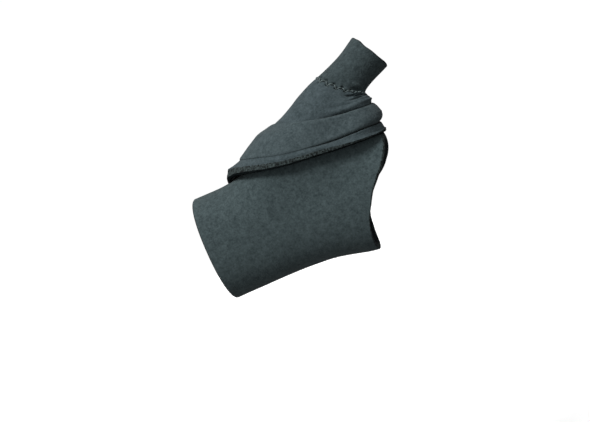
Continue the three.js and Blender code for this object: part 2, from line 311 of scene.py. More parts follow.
THREAD_ROUGHNESS = 0.7
PLAIN_GLOSS = 0.25

# Material slots of the pieces, in this order; the last holds a near-black painted shade for the shadow under
# the lip
CLOTH, CUT, LINING, PAINTED_SHADE = range(4)

# Numbers of points, and powers that crowd the rows towards the lip and the seam
WRAP_ROUND = 200
WRAP_ALONG = 150
PANEL_ROUND = 300
PANEL_INNER_ROWS = 50
PANEL_OUTER_ROWS = 210
LIP_CUT_ROWS = 16
# Rows of the lip's cut face painted near-black as shade under the lip
LIP_PAINTED_SHADE_ROWS = 5
STRAP_ROWS = 70
SLEEVE_ROWS = 80
CHART_ROUND = 108
CHART_ROWS_PER_LOOP = 6
THUMB_STEPS = 30
CAP_ROWS = 7
CLOSING_ROWS = 3
OUTER_ROWS_POWER = 1.25
SLEEVE_ROWS_POWER = 1.2

# Steps by which the cloth finds its place on the form
PROBE = 0.3
FLOW_STEPS = 20
FLOW_STRIDE = 2.5
LEAST_SLOPE = 0.2
MARCH_STEP = 2
MARCH_LIMIT = 80
HALVINGS = 14
SOFTENINGS = 4
TINY = 1e-6


def cubic(before, start, end, after, share):
    """Point at a share of the way from start to end, on a smooth curve through four points."""
    slope = end - before
    bend = 2 * before - 5 * start + 4 * end - after
    twist = 3 * start - before - 3 * end + after
    return 0.5 * (2 * start + share * (slope + share * (bend + share * twist)))


def curve(table, places):
    """Smooth curve through a table's rows, read at places counted in rows."""
    rows = np.asarray(table, float)
    last = len(rows) - 1
    spots = np.clip(np.asarray(places, float), 0, last)
    index = np.minimum(spots.astype(int), last - 1)
    share = (spots - index)[..., None]
    return cubic(
        rows[np.maximum(index - 1, 0)],
        rows[index],
        rows[index + 1],
        rows[np.minimum(index + 2, last)],
        share,
    )


def curve_at(table, values):
    """The same curve, read where the first column has the given values."""
    rows = np.asarray(table, float)
    first = rows[:, 0]
    goal = np.clip(values, first[0], first[-1])
    index = np.clip(np.searchsorted(first, goal, side="left") - 1, 0, len(rows) - 2)
    share = (goal - first[index]) / (first[index + 1] - first[index])
    return curve(rows, index + share)


def limb_rows(table):
    """Middles and radii in millimetres from a table of shares."""
    rows = np.asarray(table, float)
    radius = rows[:, 3] * THENAR_RADIUS + rows[:, 4] * THUMB_RADIUS
    sizes = np.array([HAND_REACH, WRIST_HALF_DEPTH, THUMB_RISE])
    return np.column_stack([rows[:, :3] * sizes, radius])


THUMB_LINE = curve(limb_rows(THUMB), np.linspace(0, len(THUMB) - 1, THUMB_STEPS))
WEB_CORNERS = limb_rows(WEB)
TUNNEL_SIZES = [HAND_REACH, WRIST_HALF_BREADTH, WRIST_HALF_BREADTH, WRIST_HALF_DEPTH, WRIST_HALF_DEPTH]
TUNNEL_ROWS = np.asarray(TUNNEL) * TUNNEL_SIZES


def from_link(points, start, end):
    """Distance from the line between two middles, and the radius at the nearest place on it."""
    link = end[:3] - start[:3]
    to_point = points - start[:3]
    share = np.clip(to_point @ link / (link @ link), 0, 1)
    away = np.linalg.norm(to_point - share[:, None] * link, axis=1)
    return away, start[3] + share * (end[3] - start[3])


def thumb_distance(points):
    least = np.full(len(points), np.inf)
    for start, end in zip(THUMB_LINE[:-1], THUMB_LINE[1:]):
        away, radius = from_link(points, start, end)
        least = np.minimum(least, away - radius)
    return least


def sheet_distance(points, a, b, c):
    """Distance from a rounded sheet over a triangle that has a radius at each corner."""
    ab = b[:3] - a[:3]
    ac = c[:3] - a[:3]
    ap = points - a[:3]
    normal = np.cross(ab, ac)
    area = normal @ normal
    share_b = np.cross(ap, ac) @ normal / area
    share_c = np.cross(ab, ap) @ normal / area
    inside = (share_b >= 0) & (share_c >= 0) & (share_b + share_c <= 1)
    radius = a[3] + share_b * (b[3] - a[3]) + share_c * (c[3] - a[3])
    flat = np.abs(ap @ normal) / math.sqrt(area) - radius
    links = [from_link(points, a, b), from_link(points, b, c), from_link(points, c, a)]
    aways = np.array([away for away, _ in links])
    radii = np.array([link_radius for _, link_radius in links])
    nearest = aways.argmin(axis=0)
    column = np.arange(len(points))
    rim = aways[nearest, column] - radii[nearest, column]
    return np.where(inside, flat, rim)


def web_distance(points):
    a, b, c, d = WEB_CORNERS
    return np.minimum(sheet_distance(points, a, b, c), sheet_distance(points, a, c, d))


def tunnel_distance(points):
    """Distance from the wrist and the palm, whose sections are rounded boxes."""
    rows = curve_at(TUNNEL_ROWS, points[:, 0])
    up = points[:, 2] - rows[:, 1]
    depth = np.where(points[:, 1] < 0, rows[:, 3], rows[:, 4])
    tall = np.abs(up / rows[:, 2]) ** SECTION_POWER
    deep = np.abs(points[:, 1] / depth) ** SECTION_POWER
    scale = np.maximum((tall + deep) ** (1 / SECTION_POWER), TINY)
    return np.hypot(up, points[:, 1]) * (1 - 1 / scale)


def blend(one, other, reach):
    """The smaller of two distances, with a soft passage from one to the other."""
    share = np.maximum(reach - np.abs(one - other), 0) / reach
    return np.minimum(one, other) - share * share * reach / 4


def skin_distance(points):
    thumb = blend(thumb_distance(points), web_distance(points), WEB_BLEND)
    return blend(tunnel_distance(points), thumb, PALM_BLEND)


def slope_of(points):
    columns = []
    for axis in range(3):
        step = np.zeros(3)
        step[axis] = PROBE
        columns.append((skin_distance(points + step) - skin_distance(points - step)) / (2 * PROBE))
    return np.stack(columns, axis=1)


def flow(points, level):
    """Moves points straight off or to the form until they lie at the level above it."""
    place = points.copy()
    for _ in range(FLOW_STEPS):
        slope = slope_of(place)
        stride = np.clip(level - skin_distance(place), -FLOW_STRIDE, FLOW_STRIDE)
        steepness = np.maximum((slope**2).sum(axis=1), LEAST_SLOPE)
        place = place + slope * (stride / steepness)[:, None]
    return place


def loop_points(places, angles):
    """Points of the loops round the thumb, before they are laid on the form."""
    row = curve(LOOPS, places)
    left_x, left_z, right_x, right_z, middle_y, depth, sag = np.moveaxis(row, -1, 0)
    side = np.cos(angles)
    front = np.sin(angles)
    x = ((left_x + right_x) + side * (right_x - left_x)) / 2 * HAND_REACH
    z = ((left_z + right_z) + side * (right_z - left_z)) / 2 * THUMB_RISE
    y = (middle_y - depth * front) * WRIST_HALF_DEPTH
    return np.stack([x, y, z - sag * WRIST_HALF_DEPTH * front], axis=-1)


def soften(grid):
    """Evens out small creases in a grid of points that closes on itself along its second direction."""
    smooth = grid.copy()
    for _ in range(SOFTENINGS):
        beside = (np.roll(smooth, 1, axis=1) + np.roll(smooth, -1, axis=1)) / 2
        smooth = (smooth + beside) / 2
        along = (smooth[:-2] + smooth[2:]) / 2
        smooth[1:-1] = (smooth[1:-1] * 3 + along) / 4
    return smooth


class Chart:
    """Cloth on the form, by its place along the loops, angle round them and level above the form."""

    low = WALL + GAP
    high = 2 * (WALL + GAP) + WALL

    def __init__(self):
        self.rows = SLEEVE_END * CHART_ROWS_PER_LOOP + 1
        places = np.linspace(0, SLEEVE_END, self.rows)
        angles = np.arange(CHART_ROUND) / CHART_ROUND * 2 * math.pi
        places, angles = np.meshgrid(places, angles, indexing="ij")
        start = loop_points(places, angles).reshape(-1, 3)
        middle = flow(start, (self.low + self.high) / 2)
        shape = (self.rows, CHART_ROUND, 3)
        self.inner = soften(flow(middle, self.low).reshape(shape))
        self.outer = soften(flow(middle, self.high).reshape(shape))

    def read(self, grid, places, angles):
        rows = np.clip(places * CHART_ROWS_PER_LOOP, 0, self.rows - 1)
        columns = angles / (2 * math.pi) * CHART_ROUND
        row = np.minimum(rows.astype(int), self.rows - 2)
        column = np.floor(columns).astype(int)
        across = (columns - column)[..., None]
        lines = []
        for offset in range(-1, 3):
            index = np.clip(row + offset, 0, self.rows - 1)
            near = [grid[index, (column + step) % CHART_ROUND] for step in range(-1, 3)]
            lines.append(cubic(*near, across))
        return cubic(*lines, (rows - row)[..., None])

    def lay(self, places, angles, levels):
        inner = self.read(self.inner, places, angles)
        outer = self.read(self.outer, places, angles)
        share = (levels - self.low) / (self.high - self.low)
        return inner + (outer - inner) * share[..., None]


def ripple(points, size, seed):
    """Smooth noise from about -1 to 1 at points, with waves of the given size."""
    shift = Vector((seed * 17.3, seed * 7.1, seed * 3.7))
    flat = points.reshape(-1, 3) / size
    values = [noise.noise(Vector(point) + shift) for point in flat.tolist()]
    return np.array(values).reshape(points.shape[:-1])


def swells(points, table):
    """Sum of the ripples in a table."""
    return sum(ripple(points, wave, seed) * height for wave, seed, height in table)


def clothe(obj, node):
    """Lays a padded piece over the node that it stands for."""
    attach(obj, "root")
    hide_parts(node)


def make_mesh(name, points, faces, materials, face_slots=None):
    mesh = bpy.data.meshes.new(name)
    mesh.from_pydata((points.reshape(-1, 3) * MM).tolist(), [], faces)
    for material in materials:
        mesh.materials.append(material)
    if face_slots is not None:
        mesh.polygons.foreach_set("material_index", np.asarray(face_slots, np.int32))
    mesh.polygons.foreach_set("use_smooth", np.ones(len(mesh.polygons), bool))
    mesh.update()
    obj = bpy.data.objects.new(name, mesh)
    bpy.context.scene.collection.objects.link(obj)
    return obj


def ring_faces(rows, columns, closed):
    """Faces between loops of points, and from the last loop to the first if closed."""
    row = np.arange(rows if closed else rows - 1)
    after = (row + 1) % rows
    column = np.arange(columns)
    beside = (column + 1) % columns
    corners = [
        row[:, None] * columns + column,
        row[:, None] * columns + beside,
        after[:, None] * columns + beside,
        after[:, None] * columns + column,
    ]
    return np.stack(corners, axis=-1).reshape(-1, 4)


def outward(obj):
    mesh = bmesh.new()
    mesh.from_mesh(obj.data)
    bmesh.ops.recalc_face_normals(mesh, faces=mesh.faces)
    mesh.to_mesh(obj.data)
    mesh.free()


def lid_height(points):
    """Height of the plane of the thumb's hole over points."""
    left_x, left_z, right_x, right_z, middle_y, depth, sag = HOLE
    share = (points[:, 0] / HAND_REACH - left_x) / (right_x - left_x)
    tilt = (points[:, 1] - middle_y * WRIST_HALF_DEPTH) * sag / depth
    return (left_z + (right_z - left_z) * share) * THUMB_RISE + tilt


def wrap_points(x, angles, level, lid):
    """Points of the wrap at a level, found along rays from the tunnel's middle."""
    shape = x.shape
    x = x.ravel()
    rise = curve_at(TUNNEL_ROWS, x)[:, 1]
    across = np.cos(angles.ravel())
    up = np.sin(angles.ravel())

    def place(reach):
        return np.stack([x, reach * across, rise + reach * up], axis=1)

    def outside(reach):
        points = place(reach)
        return (skin_distance(points) > level) | (points[:, 2] > lid_height(points) + lid)

    high = np.full(len(x), float(MARCH_STEP))
    for _ in range(MARCH_LIMIT // MARCH_STEP):
        found = outside(high)
        if found.all():
            break
        high = np.where(found, high, high + MARCH_STEP)
    low = high - MARCH_STEP
    for _ in range(HALVINGS):
        middle = (low + high) / 2
        found = outside(middle)
        high = np.where(found, middle, high)
        low = np.where(found, low, middle)
    return place((low + high) / 2).reshape(*shape, 3)


def make_wrap(cloth, cut, lining):
    """Wrist wrap: a tube of padded cloth with rounded cut ends and the hole for the thumb."""
    along = np.linspace(0, 1, WRAP_ALONG)
    angles = np.arange(WRAP_ROUND) / WRAP_ROUND * 2 * math.pi
    setback = BACK_SETBACK * np.maximum(np.cos(angles), 0) ** 2
    edge = curve_at(PALM_EDGE, np.sin(angles))[:, 1] * HAND_REACH - setback
    x = -CUFF_LENGTH + along[:, None] * (edge + CUFF_LENGTH)
    rounds = np.broadcast_to(angles, x.shape)
    inner = wrap_points(x, rounds, 0, LID_HEIGHT - WALL)
    outer = wrap_points(x, rounds, WALL, LID_HEIGHT)

    def cap(side):
        """Half round of the cut edge, from the outer face to the inner one."""
        row = -1 if side > 0 else 0
        turn = np.linspace(0, math.pi, CAP_ROWS + 2)[1:-1][:, None, None]
        middle = (inner[row] + outer[row]) / 2
        half = (outer[row] - inner[row]) / 2
        push = np.array([side, 0, 0]) * WALL * CUT_ROUNDING
        return middle + half * np.cos(turn) + push * np.sin(turn)

    loops = np.concatenate([outer, cap(1), inner[::-1], cap(-1)[::-1]])
    count = len(loops)
    normal = (outer - inner) / WALL
    loops[:WRAP_ALONG] += normal * swells(outer, WRAP_SWELLS)[..., None]
    faces = ring_faces(count, WRAP_ROUND, True)
    row_slots = np.full(count, CLOTH)
    row_slots[WRAP_ALONG - 1 : WRAP_ALONG + CAP_ROWS] = CUT
    row_slots[WRAP_ALONG + CAP_ROWS : count - CAP_ROWS - 1] = LINING
    row_slots[count - CAP_ROWS - 1 :] = CUT
    slots = np.repeat(row_slots, WRAP_ROUND)
    obj = make_mesh("wrist_wrap_cloth", loops, faces.tolist(), [cloth, cut, lining], slots)
    cut_hole(obj)
    clothe(obj, "wrist_wrap")
    return obj


def cut_hole(obj):
    """Cuts the wrap off above the plane of the thumb hole and closes the wall there."""
    left_x, left_z, right_x, right_z, middle_y, depth, sag = HOLE
    slope_x = (right_z - left_z) * THUMB_RISE / ((right_x - left_x) * HAND_REACH)
    normal = Vector((-slope_x, -sag / depth, 1)).normalized()
    point = Vector((left_x * HAND_REACH, middle_y * WRIST_HALF_DEPTH, left_z * THUMB_RISE)) * MM
    mesh = bmesh.new()
    mesh.from_mesh(obj.data)
    geometry = mesh.verts[:] + mesh.edges[:] + mesh.faces[:]
    bmesh.ops.bisect_plane(mesh, geom=geometry, plane_co=point, plane_no=normal, clear_outer=True)
    rims = [one for one in mesh.edges if one.is_boundary]
    bmesh.ops.bridge_loops(mesh, edges=rims)
    bmesh.ops.recalc_face_normals(mesh, faces=mesh.faces)
    mesh.to_mesh(obj.data)
    mesh.free()


def flare_at(places):
    """How far the lip below the strap stands away from the wrap."""
    return LIP_FLARE * np.clip(1 - places / STRAP_LOW, 0, 1) ** FLARE_POWER


def hill(values, middle, reach):
    """Smooth hill from 0 to 1 and back round the middle."""
    return np.cos(np.clip((values - middle) / reach, -1, 1) * math.pi / 2) ** 2


def ramp(values, start, end):
    """Smooth step from 0 at the start to 1 at the end."""
    share = np.clip((values - start) / (end - start), 0, 1)
    return share * share * (3 - 2 * share)


def mixed(one, other, share):
    return one + (other - one) * share


def rightness(angles):
    """1 at the web of the thumb, on the right in the photograph, and 0 opposite."""
    return (1 + np.cos(angles)) / 2


def apart(angles, middle):
    """How far angles are from the middle one, the short way round."""
    return np.abs((angles - middle + math.pi) % (2 * math.pi) - math.pi)


def fold_at(places, angles):
    """Soft fold above the strap that grows towards the web."""
    along = np.clip(FOLD_MEAN + FOLD_SWING * np.cos(angles - FOLD_ANGLE), 0, 1)
    along = along * (1 - FOLD_WEB_LOSS * hill(apart(angles, 0), 0, FOLD_WEB_TURN))
    return FOLD_SHARE * FOLD_RISE * hill(places, FOLD_MIDDLE, FOLD_REACH) * along


def hem_at(places, angles):
    """Raised hem just above the strap, which is thickest at the web and fades out opposite."""
    along = ramp(rightness(angles), *HEM_SPAN)
    middle = HEM_MIDDLE - HEM_TILT * along
    return HEM_RISE * along * hill(places, middle, HEM_REACH) ** HEM_POWER


def pinch_at(places, angles):
    """Dents and small folds where the sleeve is sewn to the panel by the web."""
    total = np.zeros_like(places)
    for place, angle, reach, turn, rise in PINCHES:
        away = np.hypot((places - place) / reach, apart(angles, angle) / turn)
        total += rise * hill(away, 0, 1)
    return total


def seam_pits(places, angles):
    """Needle holes of the zigzag stitches, in turn above and below the seam."""
    total = np.zeros_like(places)
    for index in range(STITCHES):
        angle = index / STITCHES * 2 * math.pi
        side = SEAM + (STITCH_REACH if index % 2 else -STITCH_REACH)
        away = np.hypot((places - side) / PIT_REACH, apart(angles, angle) / PIT_TURN)
        total -= PIT_DEPTH * hill(away, 0, 1)
    return total


def seam_dip(places):
    """Narrow groove along the seam."""
    return -SEAM_DIP * hill(places, SEAM, SEAM_REACH)


def squeezed(levels, places, angles):
    """Levels of the panel and the strap, pressed closer to the wrap where they turn round the web."""
    line, shares = np.array(WEB_SQUEEZE).T
    low = WALL + GAP
    at_web = ramp(rightness(angles), *SQUEEZE_SPAN)
    return low + (levels - low) * (1 - np.interp(places, line, shares) * at_web)


def lip_lift(places, angles):
    """How far the front of the lip stands off the wrap, which puts the wrap below it in shadow."""
    in_front = ramp(np.sin(angles), *FRONT_SPAN)
    return LIP_LIFT * in_front * (1 - ramp(places, 0, LIP_LIFT_END))


def web_rise(places, angles):
    """Small ups and downs of the panel's outline above the strap, at the web only."""
    total = np.zeros_like(places)
    for place, reach, rise in WEB_RISES:
        total += rise * hill(places, place, reach)
    return total * ramp(rightness(angles), *AT_WEB)


def tuck_at(angles):
    """Share of the lip's rise and flare that stays, which is less at the web."""
    return 1 - LIP_TUCK * ramp(rightness(angles), *AT_WEB)


def lip_edges(angles):
    """Places of the lip's inner edge, and of the outer one, from which the cloth rolls in over the cut."""
    right = rightness(angles)
    upward = LIP_UP * ramp(right, *UPWARD_SPAN)
    roll = LIP_ROLL_WEB + (LIP_ROLL - LIP_ROLL_WEB) * ramp(1 - right, *ROLL_SPAN)
    roll = roll * (1 - LIP_ROLL_END * hill(apart(angles, math.pi), 0, LIP_END_TURN)) + upward
    edge = LIP_EDGE + LIP_SHORTER * ramp(right, *AT_LIP_END) + upward
    return edge, np.maximum(roll, edge + LEAST_ROLL)


def crest_at(places, angles):
    """Rise of the rolled lip, flush with the strap on the left, and the groove between them on the right."""
    right = rightness(angles)
    places = places - GROOVE_UP * ramp(right, *UPWARD_SPAN)
    above = np.clip((places - LIP_CREST) / (STRAP_LOW - LIP_CREST), 0, 1)
    below = np.clip((LIP_CREST - places) / (LIP_CREST - places[0] + TINY), 0, 1)
    left = 1 - ramp(right, *GROOVE_FADE)
    step = ramp(places - STRAP_LOW, *STRAP_STEP)
    crest = mixed(1 - above**LIP_ROUNDING, 1 - step, left) * (1 - LIP_FALL * below**2)
    lower = 1 - LIP_LOWER_LEFT * hill(right, 0, LIP_LEFT_SPAN)
    groove = GROOVE_DEPTH * (1 - left) * hill(places, STRAP_LOW, GROOVE_REACH)
    return LIP_RISE * crest * tuck_at(angles) * lower - groove


def panel_levels(places, angles):
    """Levels of the panel's outer face."""
    levels = 2 * WALL + GAP + flare_at(places) * tuck_at(angles) + fold_at(places, angles)
    levels += LIP_LIFT_OUTER * lip_lift(places, angles) + hem_at(places, angles)
    levels += pinch_at(places, angles) + seam_pits(places, angles) + seam_dip(places)
    return levels + web_rise(places, angles) + crest_at(places, angles)


def lining_levels(places, angles):
    """Levels of the panel's inner face, which closes on the wrap opposite the web."""
    close = tuck_at(angles) * (1 - LIP_CLOSE * hill(apart(angles, math.pi), 0, LIP_CLOSE_TURN))
    levels = WALL + GAP + flare_at(places) * close + fold_at(places, angles)
    return levels + lip_lift(places, angles)


def cut_points(chart, rows, angles, levels, share):
    """Rough cut face of the lip, with torn foam in its middle and a wandering inner edge."""
    rim = chart.lay(rows, angles, levels)
    levels = levels + swells(rim, CUT_SWELLS) * np.sin(share * math.pi) ** 0.5
    rows = rows + ripple(rim, FRAY_WAVE, FRAY_SEED) * FRAY_REACH * (1 - share)
    return chart.lay(np.maximum(rows, 0), angles, levels)


def make_panel(chart, cloth, cut, lining, shade):
    """Thumb panel: padded cloth with a thick rolled lip over a rough cut edge, whose lowest rows are painted
    near-black as shade.
    """
    angles = np.arange(PANEL_ROUND) / PANEL_ROUND * 2 * math.pi
    seam = SEAM - SEAM_SPLIT
    edge, roll = lip_edges(angles)
    inner_share = np.linspace(0, 1, PANEL_INNER_ROWS)[:, None]
    inner_rows = seam + (edge - seam) * inner_share
    cut_share = np.linspace(0, 1, LIP_CUT_ROWS)[:, None]
    cut_rows = edge + (roll - edge) * cut_share
    outer_share = np.linspace(0, 1, PANEL_OUTER_ROWS)[:, None] ** OUTER_ROWS_POWER
    outer_rows = roll + (seam - roll) * outer_share
    inner_angles = np.broadcast_to(angles, inner_rows.shape)
    cut_angles = np.broadcast_to(angles, cut_rows.shape)
    outer_angles = np.broadcast_to(angles, outer_rows.shape)

    inner_levels = lining_levels(inner_rows, inner_angles)
    outer_levels = panel_levels(outer_rows, outer_angles)
    start = inner_levels[-1] + CUT_SETBACK
    cut_levels = start + (outer_levels[0] - start) * cut_share**CUT_POWER
    outer_levels = squeezed(outer_levels, outer_rows, outer_angles)
    cut_levels = squeezed(cut_levels, cut_rows, cut_angles)

    corner = hill(apart(angles, LIP_CORNER_ANGLE), 0, LIP_CORNER_TURN)[:, None] * LIP_CORNER
    inner = chart.lay(inner_rows, inner_angles, inner_levels)
    inner = inner + corner * (1 - ramp(inner_rows, 0, LIP_CORNER_END))[..., None]
    rim = cut_points(chart, cut_rows, cut_angles, cut_levels, cut_share)
    rim = rim + corner * (1 - cut_share[..., None])
    outer = chart.lay(outer_rows, outer_angles, outer_levels)
    normal = outer - chart.lay(outer_rows, outer_angles, outer_levels - 1)
    outer = outer + normal * swells(outer, PANEL_SWELLS)[..., None]
    closing = np.linspace(0, 1, CLOSING_ROWS + 2)[1:-1, None, None]
    end = outer[-1] + (inner[0] - outer[-1]) * closing
    points = np.concatenate([inner, rim[1:-1], outer, end])

    slots = np.full(len(points), CLOTH)
    slots[: len(inner) - 1] = LINING
    slots[len(inner) - 1 : len(inner) + LIP_CUT_ROWS - 3] = CUT
    # The lining's edge and the lowest rows of the cut face take the painted shade: near-black colour in place
    # of the shadow under the lip
    slots[len(inner) - 2 : len(inner) + LIP_PAINTED_SHADE_ROWS] = PAINTED_SHADE
    faces = ring_faces(len(points), PANEL_ROUND, True)
    materials = [cloth, cut, lining, shade]
    obj = make_mesh("thumb_panel_cloth", points, faces.tolist(), materials, np.repeat(slots, PANEL_ROUND))
    outward(obj)
    clothe(obj, "thumb_panel")
    return obj


def rounded(distance, reach, least):
    """Share of a band's full thickness at a distance inside its edge."""
    share = np.clip(1 - distance / reach, 0, 1)
    return least + (1 - least) * np.sqrt(1 - share**2)


def strap_share(above_low, below_high, angles):
    """Share of the wall that the strap has at distances from its edges: thin where it runs into the panel."""
    right = rightness(angles)
    crisp_low = ramp(right, *GROOVE_FADE)
    low = mixed(rounded(above_low, *EDGE_FLUSH), rounded(above_low, *EDGE_CRISP), crisp_low)
    shoulder = hill(apart(angles, STRAP_SHOULDER), 0, STRAP_SHOULDER_TURN)
    crisp_high = np.maximum(ramp(right, *STRAP_FADE), shoulder)
    thinned = mixed(EDGE_THIN, 1, ramp(below_high, 0, EDGE_THIN_REACH))
    high = mixed(thinned, rounded(below_high, *EDGE_CRISP), crisp_high)
    high = mixed(high, rounded(below_high, *EDGE_WEB), ramp(right, *AT_LIP_END))
    return np.minimum(low, high)


def make_strap(chart, cloth):
    """Strap round the panel, which sinks into the lip on the left and bulges at the web."""
    angles = np.arange(PANEL_ROUND) / PANEL_ROUND * 2 * math.pi
    right = rightness(angles)
    spread = (1 - np.cos(np.linspace(0, 1, STRAP_ROWS)[:, None] * math.pi)) / 2
    low = STRAP_LOW + STRAP_GAP_LOW + GROOVE_UP * ramp(right, *UPWARD_SPAN)
    high = STRAP_HIGH - STRAP_GAP_HIGH
    rows = low + (high - low) * spread
    rounds = np.broadcast_to(angles, rows.shape)
    thick = strap_share(rows - low, high - rows, angles)
    base = 2 * (WALL + GAP) - STRAP_SINK * (1 - ramp(right, *GROOVE_FADE))
    bulge = WEB_BULGE * ramp(right, *BULGE_SPAN) * hill(rows, STRAP_MIDDLE, STRAP_BULGE_REACH)
    levels = base + WALL * thick + bulge
    swell = swells(chart.lay(rows, rounds, levels), STRAP_SWELLS) * ramp(thick, *THICK_SPAN)
    outer = chart.lay(rows, rounds, squeezed(levels + swell, rows, rounds))
    inner = chart.lay(rows, rounds, squeezed(base, rows, rounds))[::-1]
    points = np.concatenate([outer, inner])
    faces = ring_faces(len(points), PANEL_ROUND, True)
    obj = make_mesh("thumb_strap_cloth", points, faces.tolist(), [cloth])
    outward(obj)
    clothe(obj, "thumb_strap")
    return obj


def make_sleeve(chart, cloth, cut, lining):
    """Thumb sleeve, sewn to the panel, with a thin cut rim that is a little wavy."""
    angles = np.arange(PANEL_ROUND) / PANEL_ROUND * 2 * math.pi
    wave = sum(height * np.sin(count * angles + phase) for count, height, phase in RIM_WAVES)
    top = SLEEVE_END - SLEEVE_SHORTER + wave
    share = np.linspace(0, 1, SLEEVE_ROWS)[:, None]
    rows = SEAM + SEAM_SPLIT + (top - SEAM - SEAM_SPLIT) * share**SLEEVE_ROWS_POWER
    rounds = np.broadcast_to(angles, rows.shape)
    base = WALL + GAP
    levels = base + WALL + seam_pits(rows, rounds) + seam_dip(rows) + pinch_at(rows, rounds)
    outer = chart.lay(rows, rounds, levels)
    levels = levels + swells(outer, SLEEVE_SWELLS)
    outer = chart.lay(rows, rounds, levels)
    inner = chart.lay(rows, rounds, np.full_like(rows, base))[::-1]
    turn = np.linspace(0, math.pi, CAP_ROWS + 2)[1:-1][:, None, None]
    middle = (outer[-1] + inner[0]) / 2
    half = (outer[-1] - inner[0]) / 2
    away = outer[-1] - outer[-2]
    away = away / np.linalg.norm(away, axis=1, keepdims=True)
    rim = middle + half * np.cos(turn) + away * np.sin(turn) * WALL * RIM_ROUNDING
    points = np.concatenate([outer, rim, inner])
    slots = np.full(len(points), CLOTH)
    slots[len(outer) - 1 : len(outer) + CAP_ROWS] = CUT
    slots[len(outer) + CAP_ROWS : -1] = LINING
    faces = ring_faces(len(points), PANEL_ROUND, True)
    materials = [cloth, cut, lining]
    obj = make_mesh("thumb_sleeve_cloth", points, faces.tolist(), materials, np.repeat(slots, PANEL_ROUND))
    outward(obj)
    clothe(obj, "thumb_sleeve")
    return obj


def make_thread(chart, material):
    """Zigzag thread over the seam, which dips into a needle hole at each turn."""
    count = STITCHES * THREAD_STEPS
    spots = np.arange(count) / THREAD_STEPS
    turn = spots % 2
    swing = np.where(turn < 1, 2 * turn - 1, 3 - 2 * turn)
    places = SEAM + STITCH_REACH * swing
    angles = spots / STITCHES * 2 * math.pi
    levels = 2 * WALL + GAP + THREAD_RADIUS * THREAD_LIFT - THREAD_DIP * swing**2
    path = chart.lay(places, angles, levels)
    up = chart.lay(places, angles, levels + 1) - path
    ahead = np.roll(path, -1, axis=0) - np.roll(path, 1, axis=0)
    side = np.cross(ahead, up)
    side /= np.linalg.norm(side, axis=1, keepdims=True)
    up = np.cross(side, ahead)
    up /= np.linalg.norm(up, axis=1, keepdims=True)
    corners = np.arange(THREAD_SIDES) / THREAD_SIDES * 2 * math.pi
    ring = side[:, None] * np.cos(corners)[:, None] + up[:, None] * np.sin(corners)[:, None]
    points = path[:, None] + ring * THREAD_RADIUS
    faces = ring_faces(count, THREAD_SIDES, True)
    obj = make_mesh("seam_thread", points, faces.tolist(), [material])
    outward(obj)
    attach(obj, "root")


def linear(colour):
    """Linear red, green and blue of a colour written as whole numbers up to 255."""
    shares = [value / 255 for value in colour]
    return [s / 12.92 if s <= 0.04045 else ((s + 0.055) / 1.055) ** 2.4 for s in shares]


def principled(name, colour, roughness, gloss):
    material = bpy.data.materials.new(name)
    material.use_nodes = True
    shader = material.node_tree.nodes["Principled BSDF"]
    shader.inputs["Roughness"].default_value = roughness
    shader.inputs["Base Color"].default_value = (*linear(colour), 1)
    shader.inputs["Specular IOR Level"].default_value = gloss
    return material, material.node_tree, shader


def noise_node(tree, place, scale, detail):
    node = tree.nodes.new("ShaderNodeTexNoise")
    node.inputs["Scale"].default_value = scale
    node.inputs["Detail"].default_value = detail
    node.inputs["Roughness"].default_value = NOISE_ROUGHNESS
    tree.links.new(place.outputs["Object"], node.inputs["Vector"])
    return node


def cloth_material(name, dark, light, sheen, gloss, coarse, relief_depth):
    """Matt cloth, mottled from a dark to a light colour, with a fine pebbled relief."""
    material, tree, shader = principled(name, light, CLOTH_ROUGHNESS, gloss)
    shader.inputs["Sheen Weight"].default_value = sheen
    shader.inputs["Sheen Roughness"].default_value = SHEEN_ROUGHNESS
    place = tree.nodes.new("ShaderNodeTexCoord")
    fine = noise_node(tree, place, MOTTLE_FINE, MOTTLE_DETAIL)
    broad = noise_node(tree, place, coarse, MOTTLE_DETAIL)
    both = tree.nodes.new("ShaderNodeMath")
    both.operation = "ADD"
    halved = tree.nodes.new("ShaderNodeMath")
    halved.operation = "MULTIPLY"
    halved.inputs[1].default_value = 0.5
    tree.links.new(fine.outputs["Fac"], both.inputs[0])
    tree.links.new(broad.outputs["Fac"], both.inputs[1])
    tree.links.new(both.outputs["Value"], halved.inputs[0])
    colours = tree.nodes.new("ShaderNodeValToRGB")
    ends = colours.color_ramp.elements
    for one, position, colour in zip(ends, (MOTTLE_DARK, MOTTLE_LIGHT), (dark, light)):
        one.position = position
        one.color = (*linear(colour), 1)
    tree.links.new(halved.outputs["Value"], colours.inputs["Fac"])
    tree.links.new(colours.outputs["Color"], shader.inputs["Base Color"])
    pebbles = noise_node(tree, place, PEBBLES, PEBBLE_DETAIL)
    relief = tree.nodes.new("ShaderNodeBump")
    relief.inputs["Strength"].default_value = 1
    relief.inputs["Distance"].default_value = relief_depth
    tree.links.new(pebbles.outputs["Fac"], relief.inputs["Height"])
    tree.links.new(relief.outputs["Normal"], shader.inputs["Normal"])
    return material


